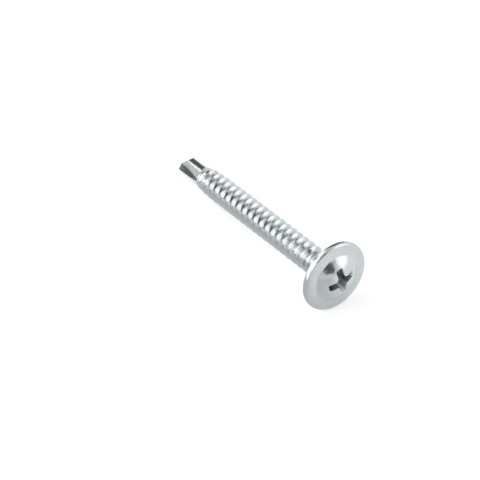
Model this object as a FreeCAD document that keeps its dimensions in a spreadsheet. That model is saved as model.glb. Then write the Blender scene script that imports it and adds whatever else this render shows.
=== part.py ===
import FreeCAD, Part
import math
import os
import re
import Sketcher

NODE = "self_drilling_screw"

# Self drilling screw with a flanged pan head, forged and rolled from one piece of steel.
# It is drawn upright: the bearing face of the head is the plane z = 0, the head is above it
# and the shank runs down to the drill point. It is then laid as it would rest on a table,
# on the rim of its flange and one land of its drill point.

# Driving sizes, in millimetres and degrees
SIZES = {
    # Overall
    "screw_length": 37.2,  # bearing face to the tip of the drill point
    "head_height": 2.5,  # bearing face to the top of the dome
    # Head
    "flange_diameter": 11.0,
    "rim_thickness": 0.8,
    "rim_edge_below": 0.2,  # bevels of the flange's edges
    "rim_edge_above": 0.3,
    "dome_foot_diameter": 7.7,  # where the flange starts to rise into the dome
    "dome_foot_height": 1.02,
    "dome_diameter": 7.1,
    "dome_start_height": 1.14,
    # Cross recess, form H, size 2
    "wing_span": 4.45,  # across two wings, where they break through the dome
    "wing_width_top": 1.1,
    "wing_floor_span": 2.3,
    "wing_width_floor": 0.8,
    "wing_end_slope": 26.5,  # ends of the wings, against the axis
    "core_corner_top": 0.92,  # corners between the wings are cut back to here
    "core_corner_floor": 0.6,
    "recess_cone_depth": 0.3,
    "recess_roll": 7.8,  # one wing against the side that lies downward
    # Neck under the head
    "collar_diameter": 4.4,
    "collar_length": 0.8,
    "collar_foot": 0.25,  # bevel that joins the collar to the bearing face
    "neck_start": 1.55,
    "neck_end": 2.6,
    # Tapping thread, right hand
    "thread_diameter": 4.18,
    "root_diameter": 3.02,
    "root_edge_diameter": 3.58,  # where the flanks pass into the hollow root
    "thread_pitch": 1.4,
    "flank_angle": 30.0,
    "crest_width": 0.12,
    "groove_start": 2.01,  # middle of the groove's first turn
    "full_thread_start": 4.4,
    "full_thread_end": 27.6,
    "taper_middle": 30.5,
    "taper_middle_diameter": 3.88,
    "thread_end": 32.6,
    # Drill point with two forged flutes
    "drill_diameter": 2.95,
    "flute_start": 31.2,
    "flute_spread": 101.0,  # opening of one flute, from its heel to its cutting lip
    "lip_roll": -69.3,  # cutting lip against the side that lies downward
    "valley_radius_start": 1.15,  # bottom of the flute, from the axis
    "valley_lag_start": 25.0,  # how far the bottom trails the lip
    "valley_radius_tip": 0.28,
    "valley_lag_tip": 17.0,
    "facet_slope": 53.0,  # each facet of the point, against a square end
    "facet_roll": 0.7,
    # Room for the cuts
    "neck_clearance": 0.03,  # the neck stays this far inside the bottom of the groove
    "mouth_clearance": 0.03,  # the widest section of the recess is this far above the dome
    "cut_reach": 1.0,  # cuts run this far past the surface that they open
}

# Sizes that follow from the ones above
DERIVED = {
    "flange_radius": "flange_diameter / 2",
    "thread_radius": "thread_diameter / 2",
    "root_radius": "root_diameter / 2",
    "root_edge_radius": "root_edge_diameter / 2",
    "neck_radius": "root_radius - neck_clearance",
    "drill_radius": "drill_diameter / 2",
    # Groove of the thread: straight flanks over a hollow root
    "groove_half_top": "(thread_pitch - crest_width) / 2",
    "groove_half_root": "groove_half_top - (thread_radius - root_edge_radius) * tan(flank_angle)",
    "groove_length": "thread_end + thread_pitch / 2 - groove_start",
    "flute_reach": "drill_radius + cut_reach",
    "flute_end": "screw_length + cut_reach",
    # The dome is one arc, with its centre on the axis
    "dome_rise": "head_height - dome_start_height",
    "dome_radius": "(dome_diameter ^ 2 / 4 + dome_rise ^ 2) / (2 * dome_rise)",
    # Recess: the ends of the wings slope in from where they break through the dome
    "wing_rim_height": "head_height - dome_radius + sqrt(dome_radius ^ 2 - wing_span ^ 2 / 4)",
    "recess_top": "head_height + mouth_clearance",
    "recess_floor": "wing_rim_height - (wing_span - wing_floor_span) / 2 / tan(wing_end_slope)",
    "wing_reach_top": "wing_span / 2 + (recess_top - wing_rim_height) * tan(wing_end_slope)",
    # Rest: a plane that touches the lower edge of the rim and the end of one land
    "land_end_height": "drill_radius * tan(facet_slope) * cos(facet_roll) - screw_length",
    "rest_run": "rim_edge_below - land_end_height",
    "rest_tilt": "atan((flange_radius - drill_radius) / rest_run)",
    "rest_height": "flange_radius * cos(rest_tilt) - rim_edge_below * sin(rest_tilt)",
    "rest_shift": "(screw_length - head_height) / 2 * cos(rest_tilt)",
}


def make_sheet(doc):
    """Spreadsheet with every size under its name."""
    sheet = doc.addObject("Spreadsheet::Sheet", "Sizes")
    cells = [(name, str(value)) for name, value in SIZES.items()]
    cells += [(name, "=" + formula) for name, formula in DERIVED.items()]
    for row, (name, content) in enumerate(cells, start=1):
        sheet.set("A%d" % row, name)
        sheet.set("B%d" % row, content)
        sheet.setAlias("B%d" % row, name)
    doc.recompute()
    return sheet


def from_sheet(formula):
    """The formula with each size name read from the spreadsheet."""
    return re.sub(r"[a-z]+(_[a-z]+)+", r"Sizes.\g<0>", formula)


def number(sheet, formula):
    """What a formula of sizes comes to now."""
    return float(sheet.evalExpression(formula))


def origin_part(body, role):
    """One of the body's own origin planes or axes."""
    return [part for part in body.Origin.OriginFeatures if part.Role == role][0]


def make_sketch(body, name, plane, height="0", roll="0"):
    """Empty sketch on an origin plane, moved along its normal and turned about the screw's axis."""
    sketch = body.newObject("Sketcher::SketchObject", name)
    sketch.AttachmentSupport = [(origin_part(body, plane), "")]
    sketch.MapMode = "FlatFace"
    up = FreeCAD.Vector(0, 0, 1) if plane == "XY_Plane" else FreeCAD.Vector(0, 1, 0)
    sketch.AttachmentOffset = FreeCAD.Placement(FreeCAD.Vector(), FreeCAD.Rotation(up, 1))
    sketch.setExpression("AttachmentOffset.Base.z", from_sheet(height))
    sketch.setExpression("AttachmentOffset.Rotation.Angle", from_sheet(roll))
    return sketch


def draw_outline(sketch, points, arc_from=None):
    """Closed outline through points given as two formulas each, all bound to the sheet.

    arc_from is the number of the point where an arc about the sketch's upright axis starts.
    """
    sheet = sketch.Document.getObject("Sizes")
    spots = [FreeCAD.Vector(number(sheet, x), number(sheet, y), 0) for x, y in points]
    for index, spot in enumerate(spots):
        following = spots[(index + 1) % len(spots)]
        if index == arc_from:
            center_y = (following.y + spot.y - spot.x ** 2 / (following.y - spot.y)) / 2
            center = FreeCAD.Vector(0, center_y, 0)
            circle = Part.Circle(center, FreeCAD.Vector(0, 0, 1), following.y - center_y)
            start = math.atan2(spot.y - center_y, spot.x)
            sketch.addGeometry(Part.ArcOfCircle(circle, start, math.pi / 2))
            sketch.addConstraint(Sketcher.Constraint("PointOnObject", index, 3, -2))
        else:
            sketch.addGeometry(Part.LineSegment(spot, following))
    for index, (x, y) in enumerate(points):
        previous = (index - 1) % len(points)
        sketch.addConstraint(Sketcher.Constraint("Coincident", previous, 2, index, 1))
        for kind, formula in (("DistanceX", x), ("DistanceY", y)):
            size = number(sheet, formula)
            place = sketch.addConstraint(Sketcher.Constraint(kind, -1, 1, index, 1, size))
            sketch.setExpression("Constraints[%d]" % place, from_sheet(formula))


def make_blank(body):
    """Head, neck and shank before the thread is rolled, as one turned form."""
    sketch = make_sketch(body, "BlankOutline", "XZ_Plane")
    outline = [
        ("0", "-flute_end"),
        ("drill_radius", "-flute_end"),
        ("drill_radius", "-thread_end"),
        ("taper_middle_diameter / 2", "-taper_middle"),
        ("thread_radius", "-full_thread_end"),
        ("thread_radius", "-full_thread_start"),
        ("neck_radius", "-neck_end"),
        ("neck_radius", "-neck_start"),
        ("collar_diameter / 2", "-collar_length"),
        ("collar_diameter / 2", "-collar_foot"),
        ("collar_diameter / 2 + collar_foot", "0"),
        ("flange_radius - rim_edge_below", "0"),
        ("flange_radius", "rim_edge_below"),
        ("flange_radius", "rim_thickness - rim_edge_above"),
        ("flange_radius - rim_edge_above", "rim_thickness"),
        ("dome_foot_diameter / 2", "dome_foot_height"),
        ("dome_diameter / 2", "dome_start_height"),
        ("0", "head_height"),
    ]
    draw_outline(sketch, outline, arc_from=len(outline) - 2)
    blank = body.newObject("PartDesign::Revolution", "Blank")
    blank.Profile = sketch
    blank.ReferenceAxis = (sketch, ["V_Axis"])
    blank.Angle = 360
    return blank


def cut_thread(body):
    """One helical groove leaves the thread's crest; it runs out where the blank tapers."""
    sketch = make_sketch(body, "GrooveOutline", "XZ_Plane")
    outline = [
        ("root_radius", "-groove_start"),
        ("root_edge_radius", "-groove_half_root - groove_start"),
        ("thread_radius", "-groove_half_top - groove_start"),
        ("thread_radius", "groove_half_top - groove_start"),
        ("root_edge_radius", "groove_half_root - groove_start"),
    ]
    draw_outline(sketch, outline)
    groove = body.newObject("PartDesign::SubtractiveHelix", "ThreadGroove")
    groove.Profile = sketch
    groove.ReferenceAxis = (sketch, ["V_Axis"])
    groove.Mode = "pitch-height-angle"
    groove.Reversed = True
    groove.setExpression("Pitch", from_sheet("thread_pitch"))
    groove.setExpression("Height", from_sheet("groove_length"))
    return groove


def flute_section(body, name, height, valley_radius, valley_lag):
    """Section of one flute: its bottom, its heel side, the open air and its cutting lip."""
    sketch = make_sketch(body, name, "XY_Plane", height)
    outline = []
    for radius, angle in (
        (valley_radius, "lip_roll - " + valley_lag),
        ("flute_reach", "lip_roll - flute_spread"),
        ("flute_reach", "lip_roll - flute_spread / 2"),
        ("flute_reach", "lip_roll"),
    ):
        outline.append(("%s * cos(%s)" % (radius, angle), "%s * sin(%s)" % (radius, angle)))
    draw_outline(sketch, outline)
    return sketch


def cut_flutes(body):
    """Two opposite flutes that deepen towards the tip."""
    start = flute_section(
        body, "FluteStart", "-flute_start", "valley_radius_start", "valley_lag_start"
    )
    tip = flute_section(
        body, "FluteTip", "-flute_end", "valley_radius_tip", "valley_lag_tip"
    )
    flute = body.newObject("PartDesign::SubtractiveLoft", "Flute")
    flute.Profile = start
    flute.Sections = [tip]
    flute.Ruled = True
    body.Document.recompute()
    pair = body.newObject("PartDesign::PolarPattern", "FlutePair")
    pair.Originals = [flute]
    pair.Axis = (origin_part(body, "Z_Axis"), [""])
    pair.Angle = 360
    pair.Occurrences = 2
    body.Tip = pair
    return pair


def cut_point(body):
    """Roof of two flat facets across the end of the drill."""
    sketch = make_sketch(body, "PointOutline", "XZ_Plane", roll="facet_roll")
    shoulder = "flute_reach * tan(facet_slope) - screw_length"
    outline = [
        ("0", "-screw_length"),
        ("flute_reach", shoulder),
        ("flute_reach", "-flute_end - cut_reach"),
        ("-flute_reach", "-flute_end - cut_reach"),
        ("-flute_reach", shoulder),
    ]
    draw_outline(sketch, outline)
    point = body.newObject("PartDesign::Pocket", "DrillPoint")
    point.Profile = sketch
    point.SideType = "Symmetric"
    point.Type = "Length"
    point.setExpression("Length", from_sheet("flute_reach * 2"))
    return point


def recess_section(body, name, height, reach, half_width, corner):
    """Cross of four wings with the corners between them cut back."""
    sketch = make_sketch(body, name, "XY_Plane", height, "recess_roll")
    outline = []
    quadrant = [(reach, half_width), (corner, half_width), (half_width, corner), (half_width, reach)]
    for turn in range(4):
        for x, y in quadrant:
            for _ in range(turn):
                x, y = "-(%s)" % y, x
            outline.append((x, y))
    draw_outline(sketch, outline)
    return sketch


def cut_recess(body):
    """Cross recess: tapered wings over a shallow cone."""
    top = recess_section(
        body, "RecessTop", "recess_top", "wing_reach_top", "wing_width_top / 2", "core_corner_top"
    )
    floor = recess_section(
        body, "RecessFloor", "recess_floor", "wing_floor_span / 2", "wing_width_floor / 2",
        "core_corner_floor",
    )
    wings = body.newObject("PartDesign::SubtractiveLoft", "RecessWings")
    wings.Profile = top
    wings.Sections = [floor]
    wings.Ruled = True
    sketch = make_sketch(body, "ConeOutline", "XZ_Plane")
    outline = [
        ("0", "recess_floor - recess_cone_depth"),
        ("core_corner_floor", "recess_floor"),
        ("0", "recess_floor"),
    ]
    draw_outline(sketch, outline)
    cone = body.newObject("PartDesign::Groove", "RecessCone")
    cone.Profile = sketch
    cone.ReferenceAxis = (sketch, ["V_Axis"])
    cone.Angle = 360
    return cone


def lay_down(body):
    """Lay the screw along X with its head at +X, at rest on the plane z = 0."""
    body.Placement = FreeCAD.Placement(
        FreeCAD.Vector(), FreeCAD.Rotation(FreeCAD.Vector(0, 1, 0), 90)
    )
    body.setExpression("Placement.Rotation.Angle", from_sheet("90 deg - rest_tilt"))
    body.setExpression("Placement.Base.x", from_sheet("rest_shift"))
    body.setExpression("Placement.Base.z", from_sheet("rest_height"))


def check(doc):
    """Stop if any object failed or any solid is missing, broken or in pieces."""
    for item in doc.Objects:
        if "Invalid" in item.State or "Error" in item.State:
            raise RuntimeError("%s failed" % item.Name)
    for body in doc.findObjects("PartDesign::Body"):
        shape = body.Shape
        if shape.isNull() or not shape.isValid() or len(shape.Solids) != 1:
            raise RuntimeError("%s is not one sound solid" % body.Label)


def main():
    doc = FreeCAD.newDocument("SelfDrillingScrew")
    make_sheet(doc)
    body = doc.addObject("PartDesign::Body", "Screw")
    body.Label = NODE
    make_blank(body)
    cut_thread(body)
    doc.recompute()
    cut_flutes(body)
    cut_point(body)
    cut_recess(body)
    lay_down(body)
    doc.recompute()
    check(doc)
    os.makedirs("parts", exist_ok=True)
    body.Shape.exportStep("parts/%s.step" % body.Label)


main()
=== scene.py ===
import math

import bpy
import numpy as np
from mathutils import Matrix, Vector


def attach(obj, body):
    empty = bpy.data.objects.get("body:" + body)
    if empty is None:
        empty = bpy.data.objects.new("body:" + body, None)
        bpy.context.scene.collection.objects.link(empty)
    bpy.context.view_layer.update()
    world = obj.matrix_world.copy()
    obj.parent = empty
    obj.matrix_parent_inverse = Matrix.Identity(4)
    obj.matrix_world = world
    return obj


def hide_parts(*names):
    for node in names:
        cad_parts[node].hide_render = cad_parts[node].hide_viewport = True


# The looks of a self drilling screw: a fine mesh of the one piece, its zinc plating, the floor,
# the light and the camera. Lengths are millimetres until the mesh is made, angles degrees.
# The mesh is a grid of rows around the screw's axis. It starts in the middle of the recess,
# goes out over the dome, round the flange and down the shank, and ends at the drill point.

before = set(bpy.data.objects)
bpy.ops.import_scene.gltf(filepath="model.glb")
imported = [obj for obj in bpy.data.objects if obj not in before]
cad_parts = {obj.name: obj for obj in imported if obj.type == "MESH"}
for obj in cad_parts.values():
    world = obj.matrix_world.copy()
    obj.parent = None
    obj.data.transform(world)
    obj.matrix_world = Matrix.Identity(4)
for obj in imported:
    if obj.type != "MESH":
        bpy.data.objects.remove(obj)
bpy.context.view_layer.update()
NODE = "self_drilling_screw"

# Sizes of the head, from the bearing face up
FLANGE_RADIUS = 5.494  # a hair inside the solid
FLANGE_DISH_RADIUS = 4.2  # inside this the flange dips slightly towards the dome
FLANGE_DISH_HEIGHT = 1.005
FLANGE_BEND_RADIUS = 4.8  # outside this the flange slopes down more
FLANGE_BEND_HEIGHT = 0.945
FLANGE_BLEND = 3.0  # radius of the curves at the dish and the bend
RIM_TOP = 0.77  # where the flange's slope would meet its side
RIM_ROUND_BELOW = 0.2
RIM_ROUND_ABOVE = 0.42
BEARING_FACE_ROWS = (4.4, 3.4)  # radii of two rows on the flat underside
DOME_FOOT_RADIUS = 3.74
DOME_FOOT_HEIGHT = 0.99
DOME_FOOT_BLEND = 0.6
DOME_FOOT_MARGIN = 0.35  # the dome's arc ends this far inside its foot
HEAD_HEIGHT = 2.5
MOUTH_CLEARANCE = 0.03  # the widest section of the recess is this far above the dome
DOME_RADIUS = 5.32

# Cross recess
WING_SPAN = 4.45
WING_WIDTH_TOP = 1.1
WING_FLOOR_SPAN = 2.3
WING_WIDTH_FLOOR = 0.8
CORE_CORNER_TOP = 0.92
CORE_CORNER_FLOOR = 0.6
WING_END_SLOPE = 26.5
RECESS_CONE_DEPTH = 0.3
RECESS_ROLL = 7.8
MOUTH_ROUND = 0.15

# Shank, from the bearing face down
COLLAR_RADIUS = 2.2
COLLAR_LENGTH = 0.8
COLLAR_FOOT_ROUND = 0.3
COLLAR_END_ROUND = 0.25
NECK_RADIUS = 1.48
NECK_ROUND = 0.35
NECK_START = 1.55
NECK_END = 2.6
THREAD_RADIUS = 2.09
ROOT_RADIUS = 1.51
THREAD_PITCH = 1.4
FLANK_ANGLE = 30.0
CREST_WIDTH = 0.12
GROOVE_START = 2.01
FULL_THREAD_START = 4.4
FULL_THREAD_END = 27.6
TAPER_MIDDLE = 30.5
TAPER_MIDDLE_RADIUS = 1.94
THREAD_END = 32.6

# Drill point
SCREW_LENGTH = 37.2
DRILL_RADIUS = 1.475
FLUTE_START = 31.2
FLUTE_END = 38.2
FLUTE_REACH = 2.475
FLUTE_SPREAD = 101.0
LIP_ROLL = -69.3
VALLEY_RADIUS_START = 1.15
VALLEY_LAG_START = 25.0
VALLEY_RADIUS_TIP = 0.28
VALLEY_LAG_TIP = 17.0
FACET_SLOPE = 53.0

# Rest on the rim and one land, and the bearing face's centre there
REST_TILT = 6.4792
REST_HEIGHT = 5.4423
REST_SHIFT = 17.2392

# Grid
COLUMNS = 160
HALF_WING_CELLS = 4  # half of a wing's end
WING_SIDE_CELLS = 12
HALF_CORE_CELLS = 4  # half of the corner between two wings
HALF_PROFILE_ROWS = 9  # from the middle of a thread groove to the crest
LAND_CELLS = 36
HEEL_CELLS = 32
LIP_CELLS = 12

# Plating, with its scales in cells per millimetre
ZINC_COOL = (0.6, 0.645, 0.66, 1)
ZINC_WARM = (0.65, 0.68, 0.69, 1)
# painted shade: the colour that the thread's roots and the recess are darkened towards
HOLLOW_PAINTED_SHADE = (0.4, 0.445, 0.455, 1)
PAINTED_SHADE_SHARE = 0.45  # how far the hollows go to the painted shade colour
ROUGHNESS_LOW = 0.1
ROUGHNESS_HIGH = 0.17
ROUGHNESS_HOLLOW = 0.08  # added in the hollows
CLOUD_SCALE = 0.35
MOTTLE_SCALE = 2.4
MOTTLE_HEIGHT = 5.0  # against a grain of 1
GRAIN_SCALE = 9.0
RELIEF_DISTANCE = 0.00001  # metres
RELIEF_STRENGTH = 0.5

# Studio
FLOOR_HALF = 0.6  # metres
FLOOR_COLOR = (0.63, 0.63, 0.63, 1)
FLOOR_GLOW = 0.48  # takes the floor to white for the camera
FLOOR_GLOW_MIRRORED = 0.32  # beyond the screw, for what mirrors the floor
FLOOR_GLOW_FROM = -0.009  # it starts here, in metres along Y
FLOOR_GLOW_TO = 0.004  # and is full here
# Panels of the light tent, each over the ones before it:
# azimuth, elevation, half width, half height and softness in degrees, and how bright it is
PANELS = [
    (0, 45, 180, 60, 3, 0.8),  # walls
    (260, 86, 172, 11, 3, 0.4),  # roof
    (232, 22, 55, 42, 12, 1.95),  # key light
    (325, 34, 28, 11, 5, 1.9),  # light beside the camera
    (51, 25, 21, 21, 12, 1.65),  # light beyond the head
    (95, 24, 26, 20, 6, 1.0),  # light behind
    (147, 21, 20, 23, 4, 0.12),  # gap beyond the drill point
    (197, 29, 12, 10, 3, 0.08),  # second gap beyond the drill point
    (14, 50, 26, 12, 6, 0.42),  # dark part of the roof
    (354, 27, 18, 15, 4, 0.1),  # opening on the camera's side
]
CAMERA_AZIMUTH = 53.3  # from +X to the right-hand side of the view
CAMERA_ELEVATION = 43.35
CAMERA_RIGHT = -13.27  # from the bearing face's centre
CAMERA_UP = 4.967
CAMERA_BACK = 258.61
CAMERA_LENS = 135
CAMERA_SENSOR = 36


def polar(radius, angle):
    """Point of a section at a radius and an angle in degrees."""
    return np.array([radius * math.cos(math.radians(angle)), radius * math.sin(math.radians(angle))])


def smooth_step(value):
    """Ease from 0 to 1."""
    value = np.clip(value, 0, 1)
    return value * value * (3 - 2 * value)


def dome_height(radius):
    """Height of the dome above the bearing face."""
    return HEAD_HEIGHT - DOME_RADIUS + np.sqrt(DOME_RADIUS ** 2 - radius ** 2)


def even_angles():
    """Angle of each column, in radians, where nothing asks for another."""
    return math.radians(RECESS_ROLL) + 2 * math.pi * np.arange(COLUMNS) / COLUMNS


def ring(radius, angle, height):
    """One row of the grid as points."""
    radius, angle, height = np.broadcast_arrays(radius, angle, height)
    return np.stack([radius * np.cos(angle), radius * np.sin(angle), height], axis=1)


# Recess


def cross_outline(reach, half_width, corner, height):
    """Closed outline of the cross, one point a column, with its corners softened."""
    middle = (corner + half_width) / 2
    knots = [(reach, 0), (reach, half_width), (corner, half_width), (middle, middle)]
    cells = [HALF_WING_CELLS, WING_SIDE_CELLS, HALF_CORE_CELLS]
    eighth = []
    for start, end, count in zip(knots, knots[1:], cells):
        for step in range(count):
            eighth.append(np.array(start) + (np.array(end) - start) * step / count)
    quarter = eighth + [np.array([middle, middle])] + [point[::-1] for point in eighth[:0:-1]]
    points = []
    for turn in range(4):
        angle = math.radians(RECESS_ROLL + 90 * turn)
        spin = np.array([[math.cos(angle), math.sin(angle)], [-math.sin(angle), math.cos(angle)]])
        points += [point @ spin for point in quarter]
    outline = np.array(points)
    for _ in range(2):
        outline = (np.roll(outline, 1, 0) + 2 * outline + np.roll(outline, -1, 0)) / 4
    return np.column_stack([outline, np.full(COLUMNS, height)])


def recess_rows():
    """Rows from the middle of the recess up its walls and over its rounded mouth to the dome."""
    rim = float(dome_height(WING_SPAN / 2))
    slope = math.tan(math.radians(WING_END_SLOPE))
    floor_height = rim - (WING_SPAN - WING_FLOOR_SPAN) / 2 / slope
    above = HEAD_HEIGHT + MOUTH_CLEARANCE
    reach_top = WING_SPAN / 2 + (above - rim) * slope
    top = cross_outline(reach_top, WING_WIDTH_TOP / 2, CORE_CORNER_TOP, above)
    floor = cross_outline(WING_FLOOR_SPAN / 2, WING_WIDTH_FLOOR / 2, CORE_CORNER_FLOOR, floor_height)

    # Where each wall line meets the dome
    low, high = np.zeros(COLUMNS), np.ones(COLUMNS)
    for _ in range(40):
        middle = (low + high) / 2
        point = top + (floor - top) * middle[:, None]
        outside = point[:, 2] > dome_height(np.hypot(point[:, 0], point[:, 1]))
        low, high = np.where(outside, middle, low), np.where(outside, high, middle)
    mouth = top + (floor - top) * low[:, None]

    # Directions down the wall and out over the dome
    down = floor - top
    down /= np.linalg.norm(down, axis=1)[:, None]
    along = np.roll(mouth, -1, 0) - np.roll(mouth, 1, 0)
    out = np.column_stack([along[:, 1], -along[:, 0]])
    out /= np.linalg.norm(out, axis=1)[:, None]
    near = mouth[:, :2] + MOUTH_ROUND * out
    over = np.column_stack([near, dome_height(np.hypot(near[:, 0], near[:, 1]))]) - mouth

    angles = np.arctan2(floor[:, 1], floor[:, 0])
    rows = [ring(0, angles, floor_height - RECESS_CONE_DEPTH)]
    for share in (0.5, 1):
        height = floor_height - RECESS_CONE_DEPTH * (1 - share)
        rows.append(ring(CORE_CORNER_FLOOR * share, angles, height))
    wall_top = mouth + MOUTH_ROUND * down
    rows.append(floor + (rows[-1] - floor) * 0.12)
    for share in (0.02, 0.15, 0.3, 0.45, 0.6, 0.75, 0.9):
        rows.append(floor + (wall_top - floor) * share)
    for share in np.linspace(0, 1, 5):
        rows.append(mouth + MOUTH_ROUND * down * (1 - share) ** 2 + over * share ** 2)
    return rows


def dome_rows(mouth):
    """Rows over the dome, from the mouth of the recess to even columns at the dome's foot."""
    start_radius = np.hypot(mouth[:, 0], mouth[:, 1])
    turn = np.arctan2(mouth[:, 1], mouth[:, 0]) - even_angles()
    turn = (turn + math.pi) % (2 * math.pi) - math.pi
    end_radius = DOME_FOOT_RADIUS - DOME_FOOT_MARGIN
    rows = []
    for share in np.linspace(0, 1, 15)[1:]:
        radius = start_radius + (end_radius - start_radius) * share
        angle = even_angles() + turn * (1 - smooth_step(share))
        rows.append(ring(radius, angle, dome_height(radius)))
    return rows


# Turned outline


def round_corners(corners):
    """Path through corners given as (radius, height, rounding), with an arc in place of each."""
    path = []
    places = [np.array(corner[:2], float) for corner in corners]
    for index, place in enumerate(places):
        rounding = corners[index][2]
        if rounding == 0:
            path.append(place)
            continue
        back = places[index - 1] - place
        ahead = places[index + 1] - place
        back /= np.linalg.norm(back)
        ahead /= np.linalg.norm(ahead)
        half = math.acos(np.clip(back @ ahead, -1, 1)) / 2
        centre = place + (back + ahead) / np.linalg.norm(back + ahead) * rounding / math.sin(half)
        start = place + back * rounding / math.tan(half) - centre
        end = place + ahead * rounding / math.tan(half) - centre
        swing = math.pi - 2 * half
        for step in np.linspace(0, 1, 9):
            share = math.sin((1 - step) * swing) * start + math.sin(step * swing) * end
            path.append(centre + share / math.sin(swing))
    return path


def outline_rows():
    """Rows round the flange, under the head and down to the neck's end."""
    edge = DOME_FOOT_RADIUS - DOME_FOOT_MARGIN
    corners = [
        (edge, float(dome_height(edge)), 0),
        (DOME_FOOT_RADIUS, DOME_FOOT_HEIGHT, DOME_FOOT_BLEND),
        (FLANGE_DISH_RADIUS, FLANGE_DISH_HEIGHT, FLANGE_BLEND),
        (FLANGE_BEND_RADIUS, FLANGE_BEND_HEIGHT, FLANGE_BLEND),
        (FLANGE_RADIUS, RIM_TOP, RIM_ROUND_ABOVE),
        (FLANGE_RADIUS, 0, RIM_ROUND_BELOW),
        *[(radius, 0, 0) for radius in BEARING_FACE_ROWS],
        (COLLAR_RADIUS, 0, COLLAR_FOOT_ROUND),
        (COLLAR_RADIUS, -COLLAR_LENGTH, COLLAR_END_ROUND),
        (NECK_RADIUS, -NECK_START, NECK_ROUND),
        (NECK_RADIUS, -NECK_END, 0),
    ]
    return [ring(radius, even_angles(), height) for radius, height in round_corners(corners)[1:]]


# Thread


def groove_radius(offset):
    """Radius at a distance along the axis from the middle of the groove."""
    half_pitch = THREAD_PITCH / 2
    crest = CREST_WIDTH / 2
    rise = 1 / math.tan(math.radians(FLANK_ANGLE))
    from_groove = np.abs(offset)
    from_crest = half_pitch - from_groove
    foot = THREAD_RADIUS - (half_pitch - crest) * rise  # where the flanks would meet
    hollow = (ROOT_RADIUS - foot) * math.sin(math.radians(FLANK_ANGLE))
    hollow /= 1 - math.sin(math.radians(FLANK_ANGLE))
    join = hollow * math.cos(math.radians(FLANK_ANGLE))

    def flank(away):
        return THREAD_RADIUS - rise * (np.sqrt(away ** 2 + crest ** 2) - crest)

    def root(away):
        return ROOT_RADIUS + hollow - np.sqrt(np.maximum(hollow ** 2 - away ** 2, 0))

    gap = root(join) - flank(half_pitch - join)
    lifted = flank(from_crest) + gap * from_crest / (half_pitch - join)
    return np.where(from_groove < join, root(from_groove), lifted)


def thread_radius(angle, depth):
    """Radius of the threaded shank at an angle and a depth below the bearing face."""
    offset = depth + THREAD_PITCH * angle / (2 * math.pi) - GROOVE_START
    offset = (offset + THREAD_PITCH / 2) % THREAD_PITCH - THREAD_PITCH / 2
    full = THREAD_RADIUS - ROOT_RADIUS
    ridge = groove_radius(offset) - ROOT_RADIUS
    height = np.interp(
        depth,
        [NECK_END, FULL_THREAD_START, FULL_THREAD_END, TAPER_MIDDLE, THREAD_END],
        [0, 1, 1, (TAPER_MIDDLE_RADIUS - ROOT_RADIUS) / full, 0],
    )
    core = np.interp(
        depth,
        [NECK_END, FULL_THREAD_START, TAPER_MIDDLE, THREAD_END],
        [NECK_RADIUS, ROOT_RADIUS, ROOT_RADIUS, DRILL_RADIUS],
    )
    return core + ridge * height


def thread_rows():
    """Rows that follow the helix from the neck's end to the start of the flutes."""
    steps = np.arange(-HALF_PROFILE_ROWS, HALF_PROFILE_ROWS) / HALF_PROFILE_ROWS
    offsets = THREAD_PITCH / 2 * np.sin(math.pi / 2 * steps)
    turns = math.ceil((FLUTE_START - GROOVE_START) / THREAD_PITCH) + 2
    rows = []
    for turn in range(turns):
        for offset in offsets:
            start = GROOVE_START + THREAD_PITCH * turn + offset
            depth = np.full(COLUMNS, start)
            for _ in range(12):
                angle = column_angles(depth)
                depth = start - THREAD_PITCH * angle / (2 * math.pi)
                depth = np.clip(depth, NECK_END, FLUTE_START)
            angle = column_angles(depth)
            rows.append(ring(thread_radius(angle, depth), angle, -depth))
    return rows, 2 * HALF_PROFILE_ROWS


# Drill point


def flute_corners(depth):
    """Bottom, cutting lip end and heel end of one flute at each depth."""
    share = ((depth - FLUTE_START) / (FLUTE_END - FLUTE_START))[:, None]
    first = polar(VALLEY_RADIUS_START, LIP_ROLL - VALLEY_LAG_START)
    last = polar(VALLEY_RADIUS_TIP, LIP_ROLL - VALLEY_LAG_TIP)
    bottom = first + (last - first) * share
    lip = polar(FLUTE_REACH, LIP_ROLL) + 0 * bottom
    heel = polar(FLUTE_REACH, LIP_ROLL - FLUTE_SPREAD) + 0 * bottom
    return bottom, lip, heel


def cross(a, b):
    """Turn from one plane vector to another."""
    return a[..., 0] * b[..., 1] - a[..., 1] * b[..., 0]


def edge_angle(bottom, end, radius):
    """Angle at which the wall from the bottom to its end passes a radius."""
    wall = end - bottom
    a = (wall ** 2).sum(1)
    b = (wall * bottom).sum(1)
    c = (bottom ** 2).sum(1) - radius ** 2
    share = (-b + np.sqrt(b ** 2 - a * c)) / a
    point = bottom + wall * share[:, None]
    return np.arctan2(point[:, 1], point[:, 0])


def flute_angles(depth):
    """Angles of heel edge, bottom and lip edge of one flute, rising in that order."""
    depth = np.maximum(depth, FLUTE_START)
    bottom, lip, heel = flute_corners(depth)
    radius = np.interp(
        depth, [FLUTE_START, THREAD_END], [TAPER_MIDDLE_RADIUS - 0.15, DRILL_RADIUS]
    )
    low = edge_angle(bottom, heel, radius)
    middle = np.arctan2(bottom[:, 1], bottom[:, 0])
    high = edge_angle(bottom, lip, radius)
    return low, middle, high


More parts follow.
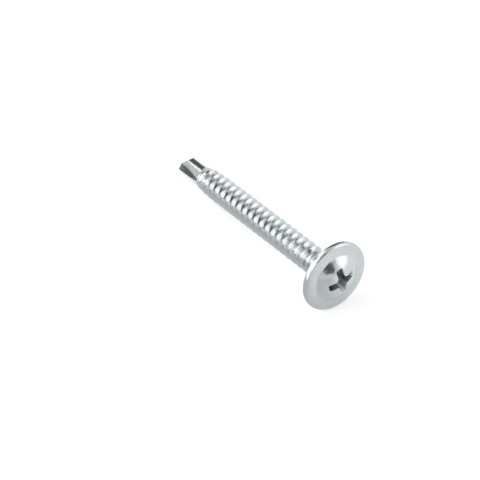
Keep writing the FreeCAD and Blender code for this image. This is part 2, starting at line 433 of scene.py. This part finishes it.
def column_angles(depth):
    """Angle of each column at its depth: even above, drawn to the edges of the flutes below."""
    even = even_angles()
    low, middle, high = flute_angles(depth)
    first = round((float(high.mean()) - even[0]) / (2 * math.pi) * COLUMNS)
    cells = (np.arange(COLUMNS) - first) % COLUMNS
    half_turn, cell = np.divmod(cells, COLUMNS // 2)
    land = high + (low + math.pi - high) * cell / LAND_CELLS
    heel = low + math.pi + (middle - low) * (cell - LAND_CELLS) / HEEL_CELLS
    lip = middle + math.pi + (high - middle) * (cell - LAND_CELLS - HEEL_CELLS) / LIP_CELLS
    drawn = np.where(cell < LAND_CELLS, land, np.where(cell < LAND_CELLS + HEEL_CELLS, heel, lip))
    drawn = drawn + half_turn * math.pi
    shift = (drawn - even + math.pi) % (2 * math.pi) - math.pi
    pull = smooth_step((depth - FULL_THREAD_END) / (FLUTE_START - FULL_THREAD_END))
    return even + shift * pull


def drill_radius(angle, depth):
    """Radius of the shank with both flutes cut."""
    radius = thread_radius(angle, depth)
    bottom, lip, heel = flute_corners(depth)
    for turn in (0, math.pi):
        ray = np.stack([np.cos(angle + turn), np.sin(angle + turn)], axis=1)
        for end in (lip, heel):
            wall = end - bottom
            across = cross(ray, wall)
            across = np.where(np.abs(across) < 1e-9, 1e-9, across)
            reach = cross(bottom, wall) / across
            share = cross(bottom, ray) / across
            hit = (reach > 0) & (share >= -1e-6) & (share <= 1)
            radius = np.where(hit, np.minimum(radius, reach), radius)
    return radius


def drill_rows():
    """Rows from the start of the flutes to the facets, and the facets up to the chisel edge."""
    tip = np.array([SCREW_LENGTH])
    chisel = float(flute_angles(tip)[1][0])
    slope = math.tan(math.radians(FACET_SLOPE))

    def facet_depth(angle, radius):
        return SCREW_LENGTH - radius * np.abs(np.sin(angle - chisel)) * slope

    # Where each column leaves the wall and meets a facet
    low, high = np.full(COLUMNS, FLUTE_START), np.full(COLUMNS, SCREW_LENGTH)
    for _ in range(40):
        middle = (low + high) / 2
        angle = column_angles(middle)
        above = middle < facet_depth(angle, drill_radius(angle, middle))
        low, high = np.where(above, middle, low), np.where(above, high, middle)
    end = low

    rows = []
    fine = np.linspace(FLUTE_START, THREAD_END, 36)
    coarse = np.linspace(0, 1, 40)[1:]
    depths = [np.full(COLUMNS, depth) for depth in fine]
    depths += [THREAD_END + (end - THREAD_END) * share for share in coarse]
    for depth in depths:
        angle = column_angles(depth)
        rows.append(ring(drill_radius(angle, depth), angle, -depth))
    edge_angles, edge_radius = column_angles(end), np.hypot(rows[-1][:, 0], rows[-1][:, 1])
    for share in (0.75, 0.5, 0.25, 0):
        radius = edge_radius * share
        rows.append(ring(radius, edge_angles, -facet_depth(edge_angles, radius)))
    return rows


# Mesh


def grid_faces(count, skew_from, skew_to, skew):
    """Four-sided faces between the rows; between skew_from and skew_to the rows are a helix."""
    faces = []
    for row in range(count - 1):
        for column in range(COLUMNS):
            if column < COLUMNS - 1:
                a, b = (row, column + 1), (row + 1, column + 1)
            elif skew_from <= row < skew_to:
                a = (max(row - skew, skew_from), 0)
                b = (max(row + 1 - skew, skew_from), 0)
            else:
                a, b = (row, 0), (row + 1, 0)
            corners = [(row, column), (row + 1, column), b, a]
            faces.append([r * COLUMNS + c for r, c in corners])
    return faces


def make_mesh(name, rows, faces):
    """Mesh from the rows, with points that coincide made one and empty faces left out."""
    points = np.concatenate(rows)
    kept, first, index = np.unique(
        np.round(points, 5), axis=0, return_index=True, return_inverse=True
    )
    index = index.reshape(-1)
    clean = []
    for face in faces:
        corners = [int(index[corner]) for corner in face]
        corners = [c for i, c in enumerate(corners) if c != corners[i - 1]]
        if len(corners) == len(set(corners)) and len(corners) > 2:
            clean.append(corners)
    tilt = math.radians(REST_TILT)
    axis = np.array([math.cos(tilt), 0, math.sin(tilt)])
    down = np.array([math.sin(tilt), 0, -math.cos(tilt)])
    local = points[first]
    world = local[:, :1] * down + local[:, 1:2] * np.array([0, 1, 0]) + local[:, 2:] * axis
    world += np.array([REST_SHIFT, 0, REST_HEIGHT])
    mesh = bpy.data.meshes.new(name)
    mesh.from_pydata((world / 1000).tolist(), [], clean)
    # mask of the hollows, for painted shade and added roughness
    shade = mesh.attributes.new("hollow", "FLOAT", "POINT")
    shade.data.foreach_set("value", hollowness(local).astype(np.float32))
    mesh.shade_smooth()
    mesh.set_sharp_from_angle(angle=math.radians(38))
    return mesh


def hollowness(points):
    """Mask for painted shade and added roughness: 1 deep in the thread's roots, less in the recess,
    0 on open faces.
    """
    radius = np.hypot(points[:, 0], points[:, 1])
    root = smooth_step((THREAD_RADIUS - 0.15 - radius) / (THREAD_RADIUS - 0.15 - ROOT_RADIUS))
    root *= (points[:, 2] < -NECK_END) & (points[:, 2] > -TAPER_MIDDLE)
    under = dome_height(np.minimum(radius, DOME_FOOT_RADIUS)) - points[:, 2]
    recess = smooth_step((under - 0.15) / 1.2) * (radius < WING_SPAN / 2) * (points[:, 2] > -0.6)
    return np.maximum(root, 0.5 * recess)


def make_screw():
    """The whole screw as one closed mesh."""
    head = recess_rows()
    head += dome_rows(head[-1])
    head += outline_rows()
    thread, skew = thread_rows()
    rows = head + thread + drill_rows()
    start, end = len(head), len(head) + len(thread) - 1
    faces = grid_faces(len(rows), start, end, skew)
    screw = bpy.data.objects.new("screw", make_mesh("screw", rows, faces))
    bpy.context.scene.collection.objects.link(screw)
    return screw


# Materials


def add_node(tree, kind, **settings):
    """New shader node with the given settings."""
    made = tree.nodes.new(kind)
    for key, value in settings.items():
        setattr(made, key, value)
    return made


def feed(tree, node, index, value):
    """Give one input of a node another node's output or a plain value."""
    if isinstance(value, bpy.types.NodeSocket):
        tree.links.new(value, node.inputs[index])
    else:
        node.inputs[index].default_value = value


def calculate(tree, operation, *values):
    """Output of a math node over values or other outputs."""
    made = add_node(tree, "ShaderNodeMath", operation=operation)
    for index, value in enumerate(values):
        feed(tree, made, index, value)
    return made.outputs[0]


def remap(tree, value, low, high, to_low, to_high, kind="LINEAR"):
    """Output of a map range node."""
    made = add_node(tree, "ShaderNodeMapRange", interpolation_type=kind)
    for index, number in enumerate((value, low, high, to_low, to_high)):
        feed(tree, made, index, number)
    return made.outputs[0]


def noise(tree, place, scale, detail=3.0, roughness=0.55):
    """Output of a noise texture whose scale is in cells per millimetre."""
    made = add_node(tree, "ShaderNodeTexNoise")
    feed(tree, made, "Vector", place)
    feed(tree, made, "Scale", scale)
    feed(tree, made, "Detail", detail)
    feed(tree, made, "Roughness", roughness)
    return made.outputs["Fac"]


def zinc_plating():
    """Bright zinc plate: mirror-like with a fine grain, rougher in the hollows, with painted shade
    darkening them.
    """
    material = bpy.data.materials.new("zinc_plating")
    material.use_nodes = True
    tree = material.node_tree
    shader = tree.nodes["Principled BSDF"]
    coordinates = add_node(tree, "ShaderNodeTexCoord")
    place = add_node(tree, "ShaderNodeMapping")
    feed(tree, place, "Vector", coordinates.outputs["Object"])
    feed(tree, place, "Scale", (1000, 1000, 1000))
    place = place.outputs[0]
    hollow = add_node(tree, "ShaderNodeAttribute", attribute_name="hollow").outputs["Fac"]

    clouds = noise(tree, place, CLOUD_SCALE, 2.0)
    grain = noise(tree, place, GRAIN_SCALE, 4.0, 0.6)
    tone = add_node(tree, "ShaderNodeMix", data_type="RGBA")
    feed(tree, tone, "Factor", remap(tree, clouds, 0.35, 0.65, 0, 1))
    tone.inputs[6].default_value = ZINC_COOL
    tone.inputs[7].default_value = ZINC_WARM
    # painted shade: darkens the colour in the thread's roots and the recess
    shaded_tone = add_node(tree, "ShaderNodeMix", data_type="RGBA")
    feed(tree, shaded_tone, "Factor", calculate(tree, "MULTIPLY", hollow, PAINTED_SHADE_SHARE))
    tree.links.new(tone.outputs[2], shaded_tone.inputs[6])
    shaded_tone.inputs[7].default_value = HOLLOW_PAINTED_SHADE
    tree.links.new(shaded_tone.outputs[2], shader.inputs["Base Color"])

    gloss = remap(tree, grain, 0.3, 0.7, ROUGHNESS_LOW, ROUGHNESS_HIGH)
    duller = calculate(tree, "MULTIPLY", hollow, ROUGHNESS_HOLLOW)
    tree.links.new(calculate(tree, "ADD", gloss, duller), shader.inputs["Roughness"])
    shader.inputs["Metallic"].default_value = 1

    mottle = noise(tree, place, MOTTLE_SCALE, 2.0)
    relief = calculate(tree, "ADD", calculate(tree, "MULTIPLY", mottle, MOTTLE_HEIGHT), grain)
    bump = add_node(tree, "ShaderNodeBump")
    feed(tree, bump, "Strength", RELIEF_STRENGTH)
    feed(tree, bump, "Distance", RELIEF_DISTANCE)
    feed(tree, bump, "Height", relief)
    tree.links.new(bump.outputs[0], shader.inputs["Normal"])
    return material


# Studio


def seen_by(tree, *kinds):
    """1 for the given kinds of ray, 0 for the others."""
    path = add_node(tree, "ShaderNodeLightPath")
    seen = path.outputs[kinds[0]]
    for kind in kinds[1:]:
        seen = calculate(tree, "MAXIMUM", seen, path.outputs[kind])
    return seen


def make_floor():
    """Plain pale floor that keeps the shadow and reads as white."""
    mesh = bpy.data.meshes.new("floor")
    corners = [(-FLOOR_HALF, -FLOOR_HALF, 0), (FLOOR_HALF, -FLOOR_HALF, 0)]
    corners += [(FLOOR_HALF, FLOOR_HALF, 0), (-FLOOR_HALF, FLOOR_HALF, 0)]
    mesh.from_pydata(corners, [], [(0, 1, 2, 3)])
    floor = bpy.data.objects.new("floor", mesh)
    bpy.context.scene.collection.objects.link(floor)
    material = bpy.data.materials.new("white_floor")
    material.use_nodes = True
    tree = material.node_tree
    shader = tree.nodes["Principled BSDF"]
    shader.inputs["Base Color"].default_value = FLOOR_COLOR
    shader.inputs["Roughness"].default_value = 1
    shader.inputs["Specular IOR Level"].default_value = 0
    shader.inputs["Emission Color"].default_value = (1, 1, 1, 1)
    open_air = calculate(
        tree, "MULTIPLY", seen_by(tree, "Is Camera Ray", "Is Transmission Ray"), FLOOR_GLOW
    )
    place = add_node(tree, "ShaderNodeSeparateXYZ")
    tree.links.new(add_node(tree, "ShaderNodeTexCoord").outputs["Object"], place.inputs[0])
    beyond = remap(
        tree,
        place.outputs["Y"],
        FLOOR_GLOW_FROM,
        FLOOR_GLOW_TO,
        0,
        FLOOR_GLOW_MIRRORED,
        "SMOOTHSTEP",
    )
    mirrored = calculate(tree, "MULTIPLY", seen_by(tree, "Is Glossy Ray"), beyond)
    glow = calculate(tree, "ADD", open_air, mirrored)
    tree.links.new(glow, shader.inputs["Emission Strength"])
    mesh.materials.append(material)


def make_world():
    """White all round for the camera; panels of a light tent for what the screw mirrors."""
    world = bpy.data.worlds.new("studio")
    world.use_nodes = True
    tree = world.node_tree
    coordinates = add_node(tree, "ShaderNodeTexCoord")
    split = add_node(tree, "ShaderNodeSeparateXYZ")
    tree.links.new(coordinates.outputs["Generated"], split.inputs[0])
    x, y, z = split.outputs
    elevation = calculate(tree, "DEGREES", calculate(tree, "ARCSINE", z))
    azimuth = calculate(tree, "DEGREES", calculate(tree, "ARCTAN2", y, x))
    level = 1.0
    for side, height, half_width, half_height, soft, panel in PANELS:
        off_side = calculate(tree, "SUBTRACT", azimuth, side)
        off_side = calculate(tree, "WRAP", off_side, 180, -180)
        off_side = calculate(tree, "ABSOLUTE", off_side)
        off_height = calculate(tree, "ABSOLUTE", calculate(tree, "SUBTRACT", elevation, height))
        across = remap(tree, off_side, half_width - soft, half_width + soft, 1, 0, "SMOOTHSTEP")
        upward = remap(tree, off_height, half_height - soft, half_height + soft, 1, 0, "SMOOTHSTEP")
        cover = calculate(tree, "MULTIPLY", across, upward)
        blend = add_node(tree, "ShaderNodeMix")
        feed(tree, blend, 0, cover)
        feed(tree, blend, 2, level)
        feed(tree, blend, 3, panel)
        level = blend.outputs[0]
    background = tree.nodes["Background"]
    background.inputs["Color"].default_value = (1, 1, 1, 1)
    unseen = calculate(tree, "SUBTRACT", 1, seen_by(tree, "Is Camera Ray", "Is Transmission Ray"))
    blend = add_node(tree, "ShaderNodeMix")
    feed(tree, blend, 0, unseen)
    feed(tree, blend, 2, 1.0)
    feed(tree, blend, 3, level)
    tree.links.new(blend.outputs[0], background.inputs["Strength"])
    bpy.context.scene.world = world


def make_camera():
    """Camera at the photograph's viewing angle, aimed from the bearing face's centre."""
    azimuth, elevation = math.radians(CAMERA_AZIMUTH), math.radians(CAMERA_ELEVATION)
    right = Vector((math.cos(azimuth), math.sin(azimuth), 0))
    level = Vector((-math.sin(azimuth), math.cos(azimuth), 0))
    forward = math.cos(elevation) * level - math.sin(elevation) * Vector((0, 0, 1))
    up = math.sin(elevation) * level + math.cos(elevation) * Vector((0, 0, 1))
    centre = Vector((REST_SHIFT, 0, REST_HEIGHT))
    place = centre + CAMERA_RIGHT * right + CAMERA_UP * up - CAMERA_BACK * forward
    data = bpy.data.cameras.new("camera")
    data.lens = CAMERA_LENS
    data.sensor_width = CAMERA_SENSOR
    data.clip_start, data.clip_end = 0.01, 10
    camera = bpy.data.objects.new("camera", data)
    turn = Matrix((right, up, -forward)).transposed().to_4x4()
    camera.matrix_world = Matrix.Translation(place / 1000) @ turn
    bpy.context.scene.collection.objects.link(camera)
    bpy.context.scene.camera = camera


screw = make_screw()
screw.data.materials.append(zinc_plating())
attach(screw, "root")
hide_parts(NODE)
make_floor()
make_world()
make_camera()
bpy.context.scene.view_settings.view_transform = "Standard"

bpy.context.view_layer.update()
